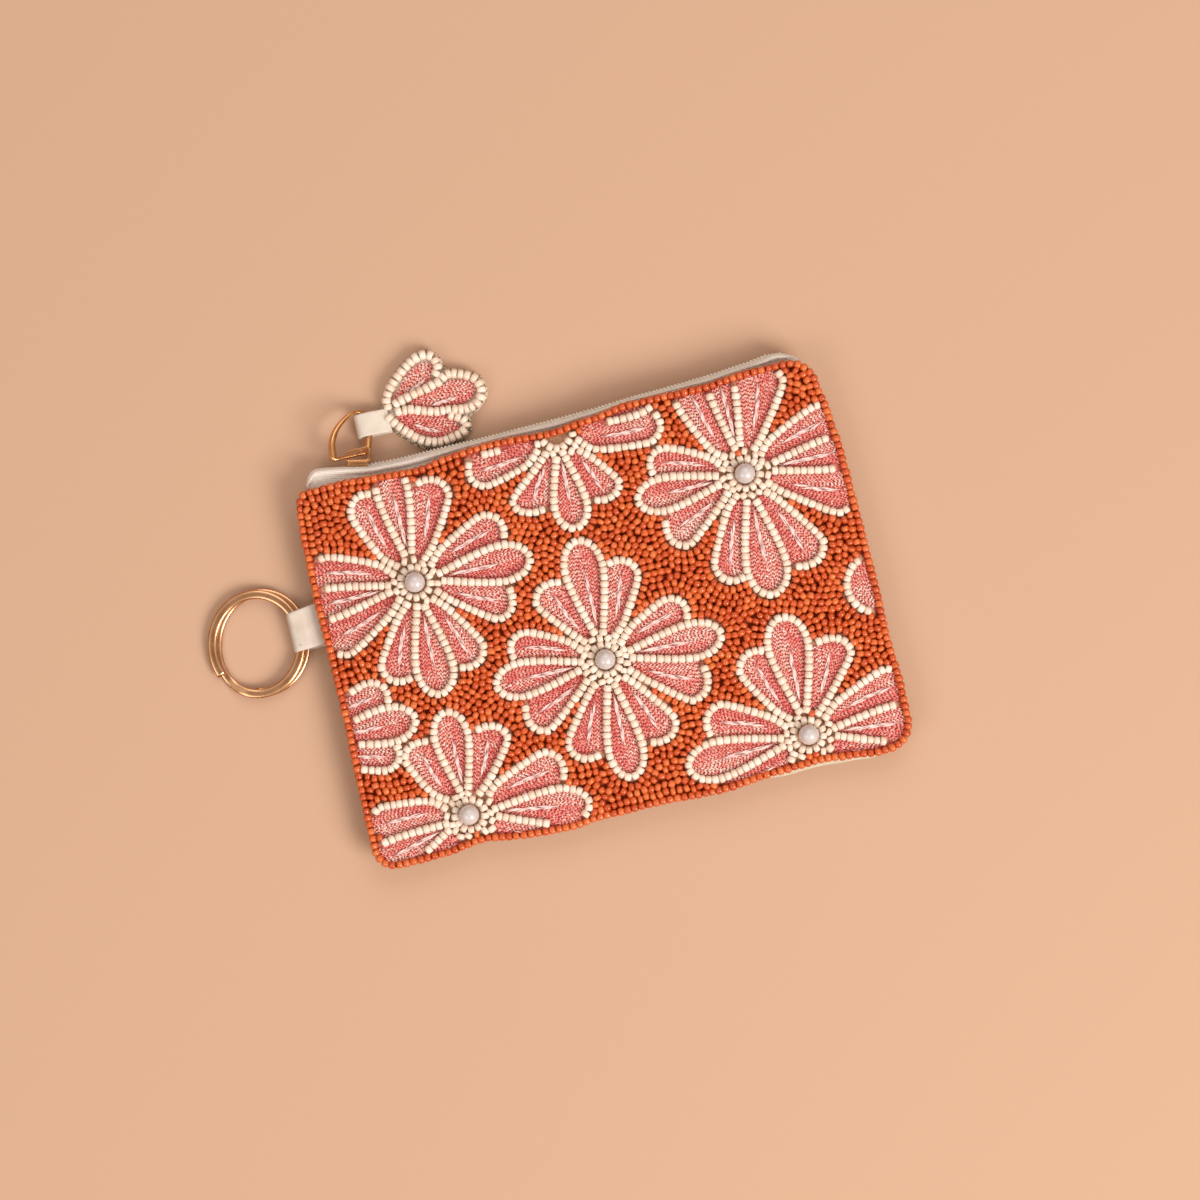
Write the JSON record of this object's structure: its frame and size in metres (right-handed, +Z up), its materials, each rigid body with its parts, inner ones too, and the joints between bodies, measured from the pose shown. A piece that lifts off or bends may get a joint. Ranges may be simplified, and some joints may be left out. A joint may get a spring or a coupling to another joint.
{
  "type": "beaded zip pouch",
  "caption": "Flat zip pouch with a seed bead face, stitched petals and pearls, a key ring on a side tab and a petal shaped charm on its zip pull.",
  "frame": {"origin": "on the flat underside of the back panel, at the middle of the pouch", "axes": "+X along the pouch's width, +Y from its base towards the zip, +Z up out of the beaded face"},
  "size_m": [0.1682, 0.1259, 0.0151],
  "materials": {
    "canvas": "plain woven cotton",
    "seed_beads": "opaque gloss",
    "charm_beads": "pearlised gloss",
    "pearl": "pearl coat",
    "zip_tape": "woven polyester",
    "zip_coil": "nylon coil",
    "gilt_metal": "polished plate",
    "ring_metal": "polished plate",
    "leather": "smooth coated",
    "felt": "pressed felt"
  },
  "bodies": {
    "root": {"front_panel": "canvas", "back_panel": "canvas", "bead_field": "seed_beads", "pearl_1": "pearl", "pearl_2": "pearl", "pearl_3": "pearl", "pearl_4": "pearl", "pearl_5": "pearl", "zip_tape_front": "zip_tape", "zip_tape_back": "zip_tape", "zip_chain": "zip_coil", "zip_slider": "gilt_metal", "pull_ring": "gilt_metal", "charm_strap": "leather", "charm_backing": "felt", "charm_beading": "charm_beads", "side_tab": "leather", "key_ring": "ring_metal"}
  },
  "joints": []
}
